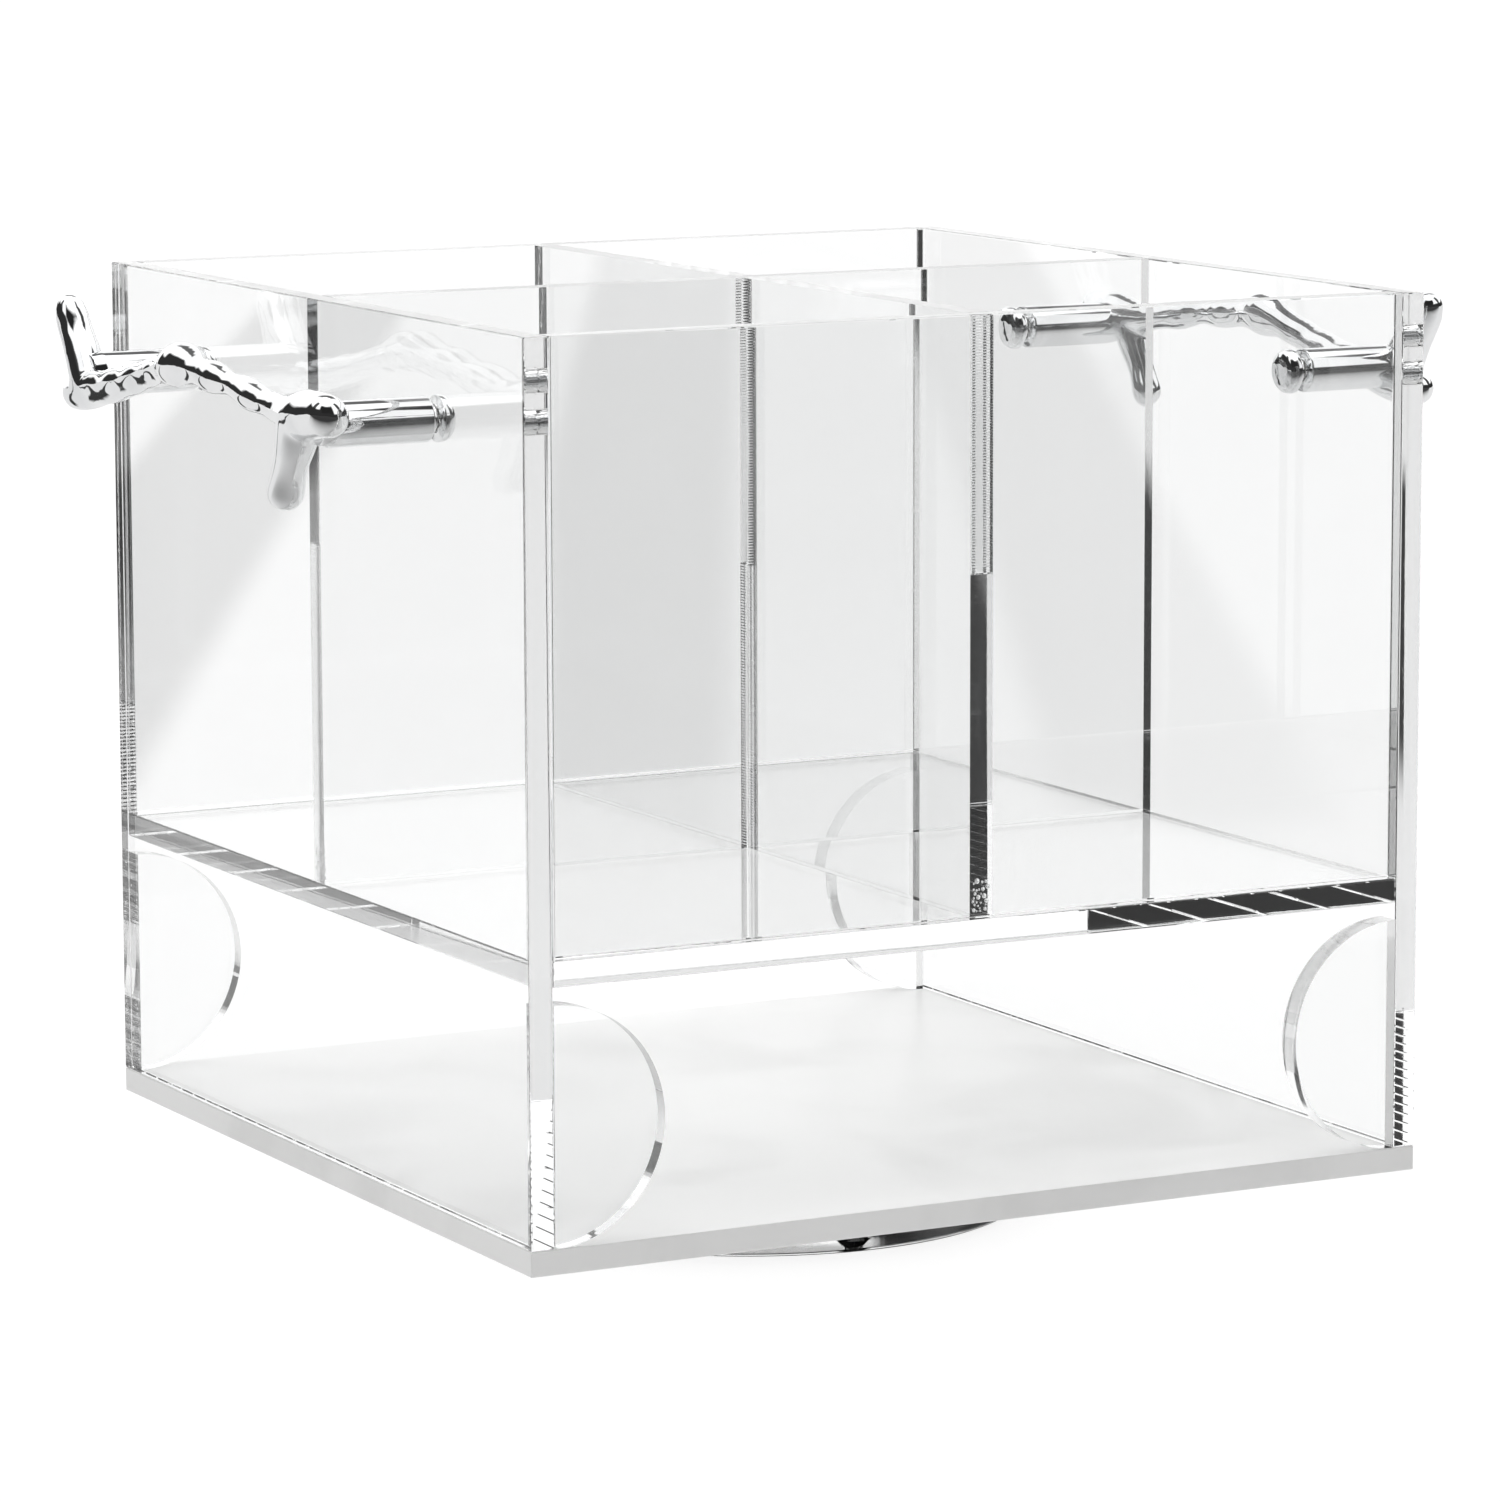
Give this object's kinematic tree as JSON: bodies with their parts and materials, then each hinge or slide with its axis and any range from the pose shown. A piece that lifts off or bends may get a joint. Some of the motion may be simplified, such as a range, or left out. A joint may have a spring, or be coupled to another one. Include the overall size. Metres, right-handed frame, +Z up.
{
  "type": "rotating cutlery caddy",
  "caption": "Clear acrylic table caddy with upper compartments, an open napkin bay, branch-shaped handles and a swivel foot.",
  "frame": {"origin": "where the swivel axis meets the table, under the middle of the foot disc", "axes": "+X to the right, out of the right-hand handle; -Y to the front of the caddy; +Z up along the swivel axis"},
  "size_m": [0.2292, 0.178, 0.1737],
  "materials": {
    "clear_acrylic": "polished clear cast acrylic sheet with flame-polished edges",
    "white_acrylic": "glossy opaque white acrylic sheet",
    "chrome_plate": "bright chrome plate over a polished casting",
    "zinc_steel": "zinc-plated pressed steel",
    "ball_steel": "polished bearing steel",
    "nylon": "natural moulded nylon",
    "foam_tape": "white double-sided foam tape",
    "soft_pad": "translucent soft vinyl"
  },
  "bodies": {
    "turntable": {"turntable_disc": "clear_acrylic", "bearing_lower_plate": "zinc_steel", "bearing_rivet": "zinc_steel", "hub_washer": "nylon", "plate_screw_1": "zinc_steel", "plate_screw_2": "zinc_steel", "plate_screw_3": "zinc_steel", "plate_screw_4": "zinc_steel", "foot_pad_1": "soft_pad", "foot_pad_2": "soft_pad", "foot_pad_3": "soft_pad", "foot_pad_4": "soft_pad"},
    "caddy": {"base_plate": "white_acrylic", "side_panel_left": "clear_acrylic", "side_panel_right": "clear_acrylic", "shelf": "clear_acrylic", "front_panel": "clear_acrylic", "back_panel": "clear_acrylic", "divider_front_back": "clear_acrylic", "divider_left_right": "clear_acrylic", "napkin_stop_front_left": "clear_acrylic", "napkin_stop_front_right": "clear_acrylic", "napkin_stop_back_left": "clear_acrylic", "napkin_stop_back_right": "clear_acrylic", "branch_handle_left": "chrome_plate", "branch_handle_right": "chrome_plate", "handle_screw_left_front": "chrome_plate", "handle_screw_left_back": "chrome_plate", "handle_screw_right_front": "chrome_plate", "handle_screw_right_back": "chrome_plate", "adhesive_ring": "foam_tape", "bearing_upper_plate": "zinc_steel"},
    "cage": {"ball_cage": "nylon", "bearing_ball_01": "ball_steel", "bearing_ball_02": "ball_steel", "bearing_ball_03": "ball_steel", "bearing_ball_04": "ball_steel", "bearing_ball_05": "ball_steel", "bearing_ball_06": "ball_steel", "bearing_ball_07": "ball_steel", "bearing_ball_08": "ball_steel", "bearing_ball_09": "ball_steel", "bearing_ball_10": "ball_steel", "bearing_ball_11": "ball_steel", "bearing_ball_12": "ball_steel"}
  },
  "joints": [
    {"name": "swivel", "type": "hinge", "parent": "turntable", "child": "caddy", "pos_m": [0, 0, 0], "axis": [0, 0, 1], "continuous": true},
    {"name": "cage_roll", "type": "hinge", "parent": "turntable", "child": "cage", "pos_m": [0, 0, 0], "axis": [0, 0, 1], "continuous": true}
  ],
  "couplings": [
    {"joint": "cage_roll", "follows": "swivel", "ratio": 0.5}
  ]
}
